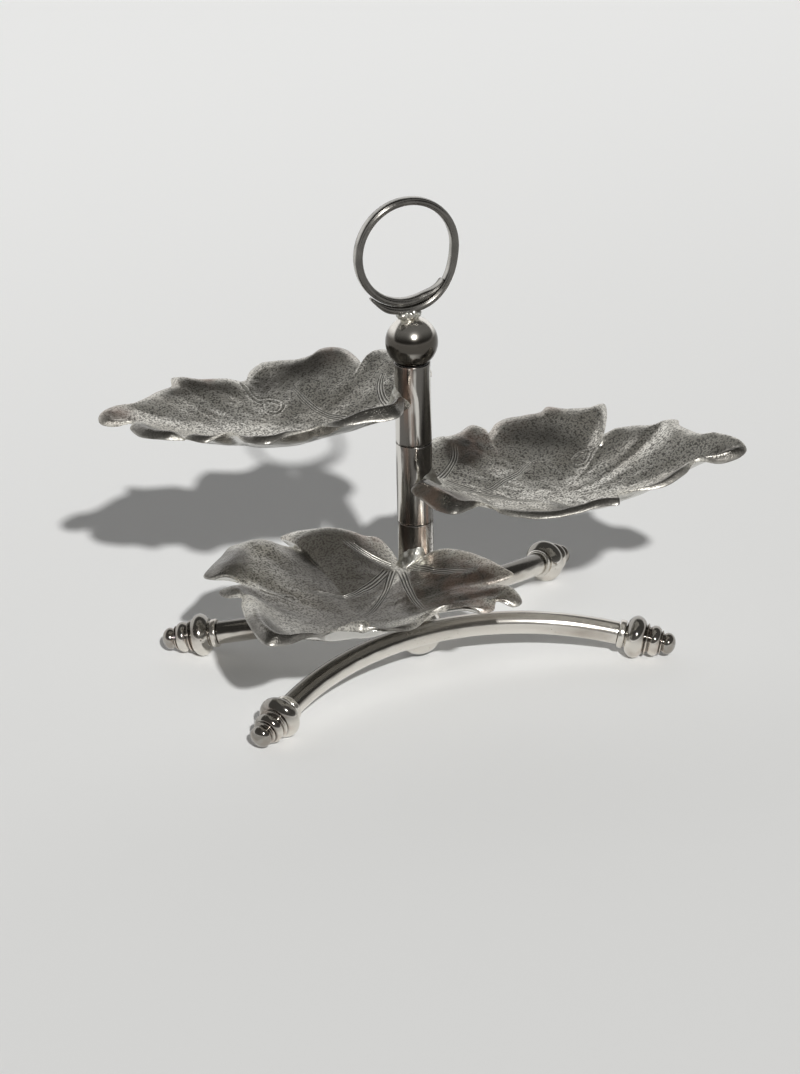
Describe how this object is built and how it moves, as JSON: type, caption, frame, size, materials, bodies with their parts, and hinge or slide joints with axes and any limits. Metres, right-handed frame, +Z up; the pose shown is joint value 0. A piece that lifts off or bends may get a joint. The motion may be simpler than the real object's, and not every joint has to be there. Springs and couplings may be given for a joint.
{
  "type": "three-section serving tray",
  "caption": "Tiered serving tray with vine-leaf dishes that turn round one upright post, a ring handle on top and bowed tube feet with turned finials.",
  "frame": {"origin": "on the surface the tray stands on, under the middle of the whole tray's bounding box", "axes": "+Z up along the post; +X along the longer side of the foot rectangle, which is also the tray's longest extent; the picture's camera is on the -Y side, turned about 24 degrees towards -X"},
  "size_m": [0.3154, 0.1998, 0.2701],
  "materials": {
    "silver_plate": "polished silver plate with light brown tarnish",
    "tarnished_silver": "darkened silver plate, satin",
    "pewter": "oxidised stippled pewter with rubbed bright rims",
    "plain_steel": "plain machined"
  },
  "bodies": {
    "base": {"front_left_collar": "tarnished_silver", "front_left_finial": "silver_plate", "front_leg_tube": "silver_plate", "front_right_collar": "tarnished_silver", "front_right_finial": "silver_plate", "front_solder_saddle": "silver_plate", "hub_ball": "silver_plate", "hub_neck": "silver_plate", "rear_left_collar": "tarnished_silver", "rear_left_finial": "silver_plate", "rear_leg_tube": "silver_plate", "rear_right_collar": "tarnished_silver", "rear_right_finial": "silver_plate", "rear_solder_saddle": "silver_plate", "ring_handle": "tarnished_silver", "ring_seat": "silver_plate", "spindle_tube": "plain_steel", "tie_nut": "plain_steel", "tie_rod": "plain_steel", "top_ball": "silver_plate"},
    "upper_tier": {"upper_sleeve": "silver_plate", "upper_leaf_dish": "pewter", "upper_solder_fillet": "silver_plate"},
    "middle_tier": {"middle_sleeve": "silver_plate", "middle_leaf_dish": "pewter", "middle_solder_fillet": "silver_plate"},
    "lower_tier": {"lower_sleeve": "silver_plate", "lower_leaf_dish": "pewter", "lower_solder_fillet": "silver_plate"}
  },
  "joints": [
    {"name": "upper_tier_turn", "type": "hinge", "parent": "base", "child": "upper_tier", "pos_m": [0.00043, -0.00343, 0.1531], "axis": [0, 0, 1], "continuous": true},
    {"name": "middle_tier_turn", "type": "hinge", "parent": "base", "child": "middle_tier", "pos_m": [0.00043, -0.00343, 0.1065], "axis": [0, 0, 1], "continuous": true},
    {"name": "lower_tier_turn", "type": "hinge", "parent": "base", "child": "lower_tier", "pos_m": [0.00043, -0.00343, 0.0599], "axis": [0, 0, 1], "continuous": true}
  ]
}
